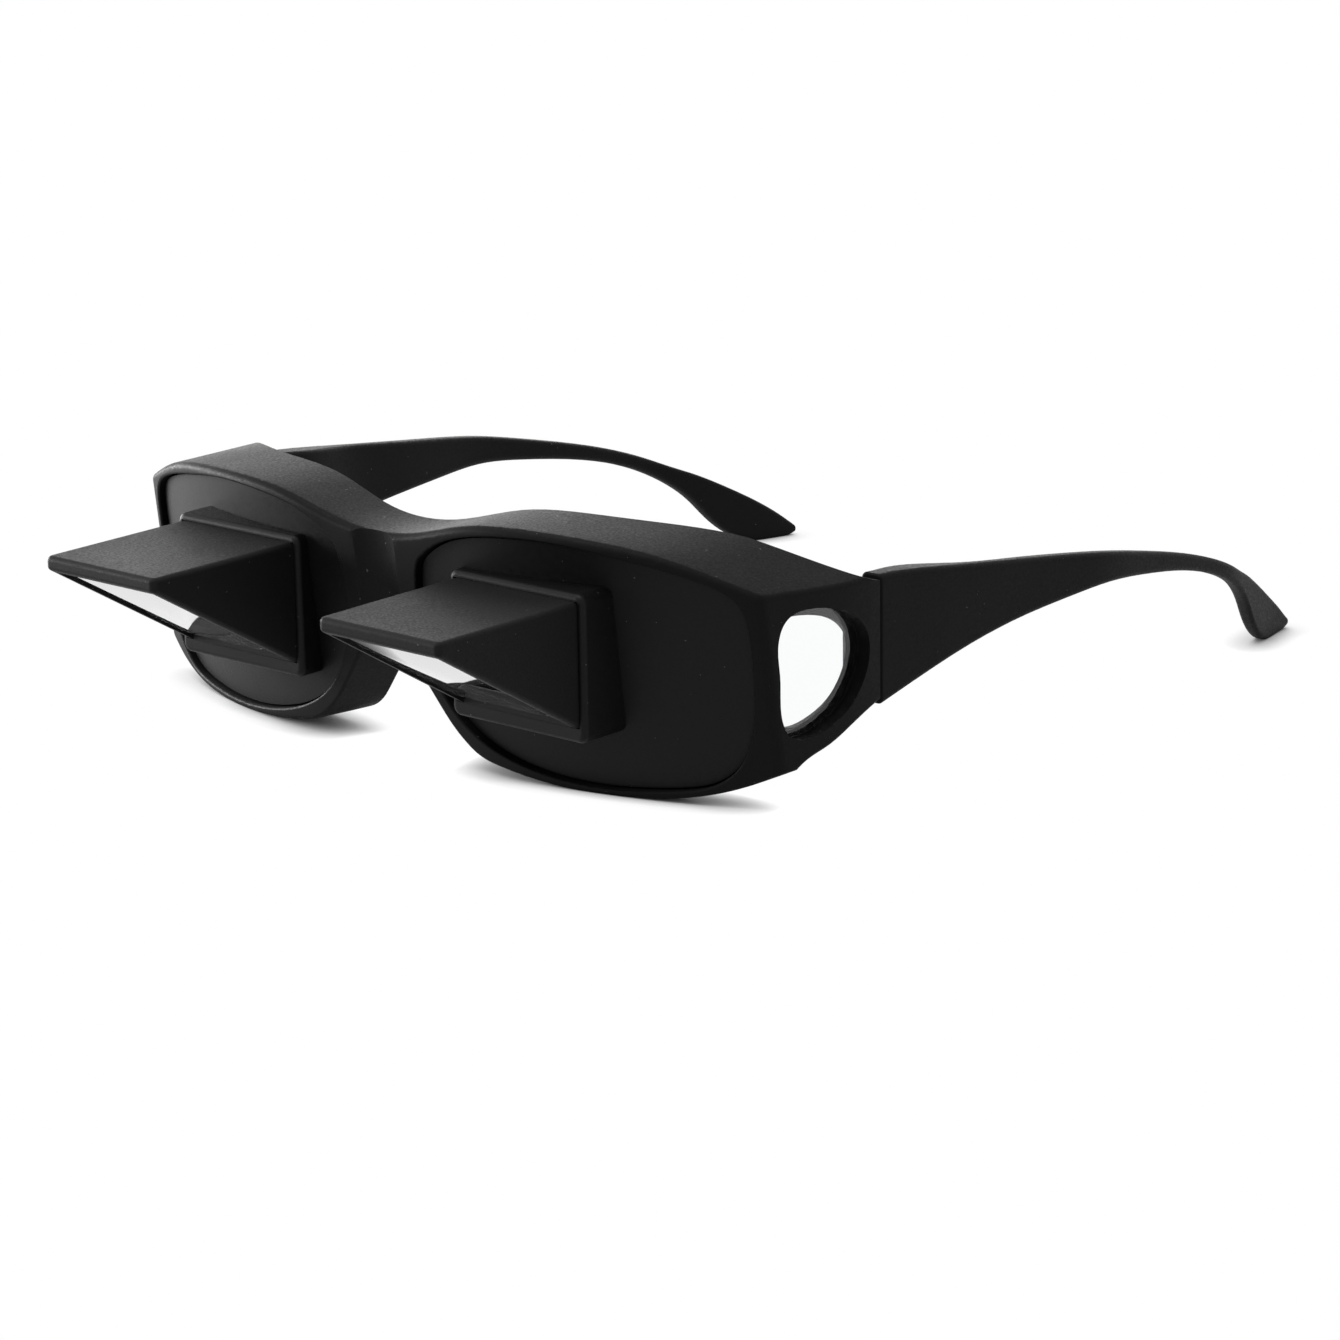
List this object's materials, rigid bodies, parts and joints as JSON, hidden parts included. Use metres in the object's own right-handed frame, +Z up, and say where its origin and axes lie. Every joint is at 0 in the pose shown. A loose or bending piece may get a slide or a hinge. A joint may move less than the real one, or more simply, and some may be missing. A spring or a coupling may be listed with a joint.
{
  "type": "prism bed glasses",
  "caption": "Fit-over spectacles with a black wrap frame, a wedge-shaped hooded prism on each eye panel that turns the view downwards, clear side windows and folding temples.",
  "frame": {"origin": "on the floor under the middle of the glasses, which stand on the bottoms of the two rims and on the two temple tips", "axes": "+X to the wearer's left, +Y from the front to the temple tips, +Z up"},
  "size_m": [0.1512, 0.2134, 0.0442],
  "materials": {
    "frame_black": "satin black moulded plastic",
    "panel_black": "satin black moulded plastic",
    "hood_black": "matte black moulded plastic",
    "clear_prism": "polished clear acrylic",
    "clear_window": "polished clear plastic",
    "mirror_film": "silvered",
    "steel": "bare steel"
  },
  "bodies": {
    "front": {"front_frame": "frame_black", "left_eye_panel": "panel_black", "left_prism_hood": "hood_black", "left_prism": "clear_prism", "left_prism_mirror": "mirror_film", "left_prism_bezel": "hood_black", "left_bezel_screws": "steel", "left_side_window": "clear_window", "left_hinge_front_leaf": "steel", "left_hinge_screw": "steel", "left_front_leaf_rivets": "steel", "right_eye_panel": "panel_black", "right_prism_hood": "hood_black", "right_prism": "clear_prism", "right_prism_mirror": "mirror_film", "right_prism_bezel": "hood_black", "right_bezel_screws": "steel", "right_side_window": "clear_window", "right_hinge_front_leaf": "steel", "right_hinge_screw": "steel", "right_front_leaf_rivets": "steel"},
    "left_temple": {"left_temple": "frame_black", "left_hinge_temple_leaf": "steel", "left_temple_leaf_rivets": "steel"},
    "right_temple": {"right_temple": "frame_black", "right_hinge_temple_leaf": "steel", "right_temple_leaf_rivets": "steel"}
  },
  "joints": [
    {"name": "left_temple_fold", "type": "hinge", "parent": "front", "child": "left_temple", "pos_m": [0.0666, -0.03198, 0.0246], "axis": [0, -0.0332, 0.9995], "range_deg": [0, 90]},
    {"name": "right_temple_fold", "type": "hinge", "parent": "front", "child": "right_temple", "pos_m": [-0.0666, -0.03198, 0.0246], "axis": [0, 0.0332, -0.9995], "range_deg": [0, 82]}
  ]
}
